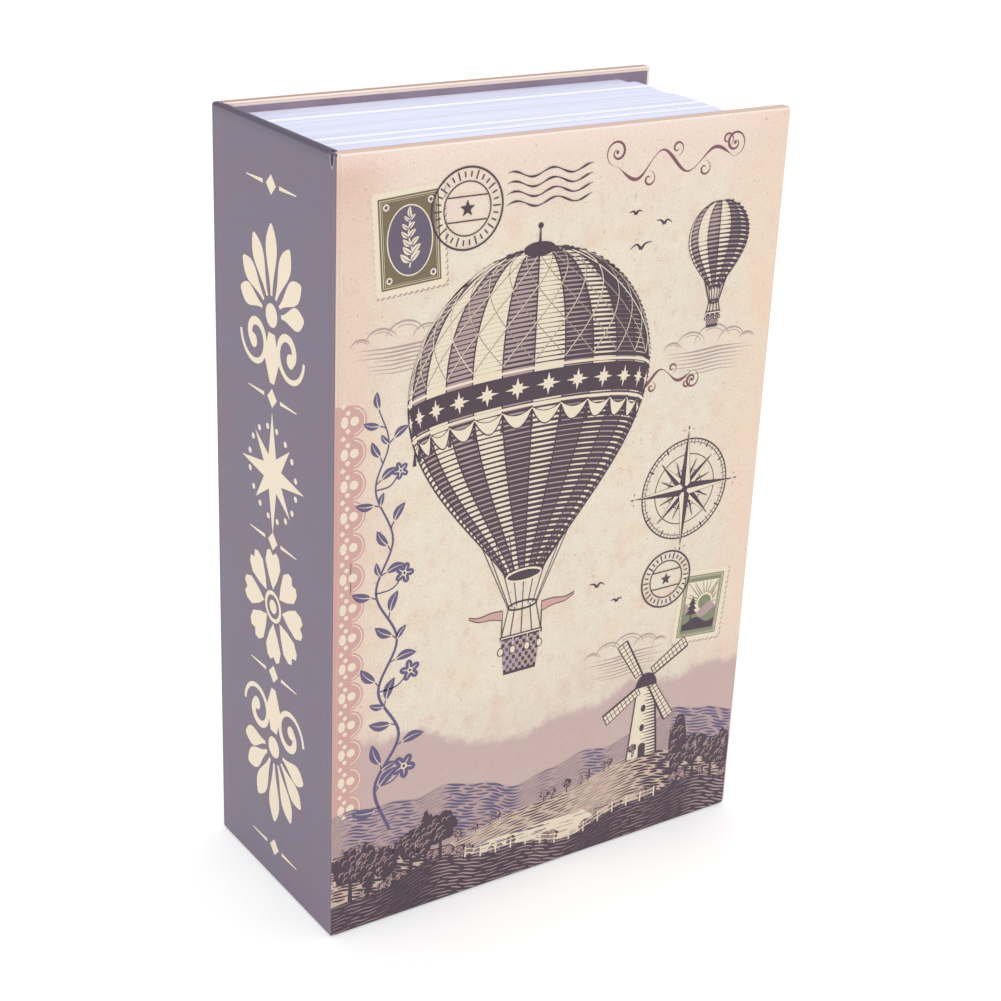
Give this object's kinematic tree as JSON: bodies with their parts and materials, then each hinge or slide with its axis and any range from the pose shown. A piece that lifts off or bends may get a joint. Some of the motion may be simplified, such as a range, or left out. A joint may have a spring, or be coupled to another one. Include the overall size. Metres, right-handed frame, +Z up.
{
  "type": "book diversion safe",
  "caption": "Small book-shaped safe: a hinged printed case hides a steel box whose lid closes with number dials and a thumb latch.",
  "frame": {"origin": "middle of the closed book's foot, on the plane it stands on", "axes": "+Z up along the spine, +X from the spine to the fore edge, -Y out of the front cover"},
  "size_m": [0.116, 0.054, 0.18],
  "materials": {
    "cover_print": "printed, semi-matt",
    "spine_print": "printed, semi-matt",
    "lining_paper": "matt",
    "grey_board": "raw",
    "page_moulding": "moulded with page lines",
    "coated_steel": "powder coat",
    "hinge_steel": "plated",
    "zinc_screw": "zinc plated",
    "lock_plastic": "moulded",
    "dial_plastic": "moulded with numbers",
    "lock_steel": "stamped and plated"
  },
  "bodies": {
    "book": {"spine_paper": "spine_print", "spine_board": "grey_board", "spine_lining": "lining_paper", "back_board": "grey_board", "back_cover_paper": "cover_print", "back_lining": "lining_paper", "page_block": "page_moulding", "steel_tray": "coated_steel", "tray_screw_1": "zinc_screw", "tray_screw_2": "zinc_screw", "tray_screw_3": "zinc_screw", "tray_screw_4": "zinc_screw", "upper_hinge_fixed_leaf": "hinge_steel", "upper_hinge_pin": "hinge_steel", "lower_hinge_fixed_leaf": "hinge_steel", "lower_hinge_pin": "hinge_steel", "upper_fixed_leaf_rivet_1": "hinge_steel", "upper_fixed_leaf_rivet_2": "hinge_steel", "lower_fixed_leaf_rivet_1": "hinge_steel", "lower_fixed_leaf_rivet_2": "hinge_steel"},
    "front_cover": {"front_board": "grey_board", "front_cover_paper": "cover_print", "front_lining": "lining_paper"},
    "lid": {"lid_plate": "coated_steel", "upper_hinge_lid_leaf": "hinge_steel", "lower_hinge_lid_leaf": "hinge_steel", "upper_lid_leaf_rivet_1": "hinge_steel", "upper_lid_leaf_rivet_2": "hinge_steel", "lower_lid_leaf_rivet_1": "hinge_steel", "lower_lid_leaf_rivet_2": "hinge_steel", "lock_bezel": "lock_plastic", "lock_case": "coated_steel", "lock_screw_1": "zinc_screw", "lock_screw_2": "zinc_screw", "lock_screw_3": "zinc_screw", "lock_screw_4": "zinc_screw", "dial_axle": "lock_steel", "detent_spring": "lock_steel"},
    "number_dial_1": {"dial_1": "dial_plastic", "dial_cam_1": "lock_steel"},
    "number_dial_2": {"dial_2": "dial_plastic", "dial_cam_2": "lock_steel"},
    "number_dial_3": {"dial_3": "dial_plastic", "dial_cam_3": "lock_steel"},
    "latch": {"thumb_slide": "lock_plastic", "latch_bolt": "lock_steel", "locking_bar": "lock_steel"},
    "code_lever": {"reset_lever": "lock_plastic"}
  },
  "joints": [
    {"name": "front_cover_hinge", "type": "hinge", "parent": "book", "child": "front_cover", "pos_m": [-0.058, -0.027, 0.09], "axis": [0, 0, -1], "range_deg": [0, 175]},
    {"name": "lid_hinge", "type": "hinge", "parent": "book", "child": "lid", "pos_m": [-0.0402, -0.0196, 0.09], "axis": [0, 0, -1], "range_deg": [0, 130]},
    {"name": "dial_1_turn", "type": "hinge", "parent": "lid", "child": "number_dial_1", "pos_m": [0.0289, -0.0161, 0.1071], "axis": [0, 0, 1], "continuous": true},
    {"name": "dial_2_turn", "type": "hinge", "parent": "lid", "child": "number_dial_2", "pos_m": [0.0289, -0.0161, 0.1006], "axis": [0, 0, 1], "continuous": true},
    {"name": "dial_3_turn", "type": "hinge", "parent": "lid", "child": "number_dial_3", "pos_m": [0.0289, -0.0161, 0.0941], "axis": [0, 0, 1], "continuous": true},
    {"name": "latch_slide", "type": "slide", "parent": "lid", "child": "latch", "axis": [1, 0, 0], "range_m": [0, 0.0056]},
    {"name": "code_lever_slide", "type": "slide", "parent": "lid", "child": "code_lever", "axis": [0, 0, 1], "range_m": [0, 0.0025]}
  ],
  "couplings": [
    {"joint": "lid_hinge", "follows": "front_cover_hinge", "ratio": 0.7428}
  ]
}
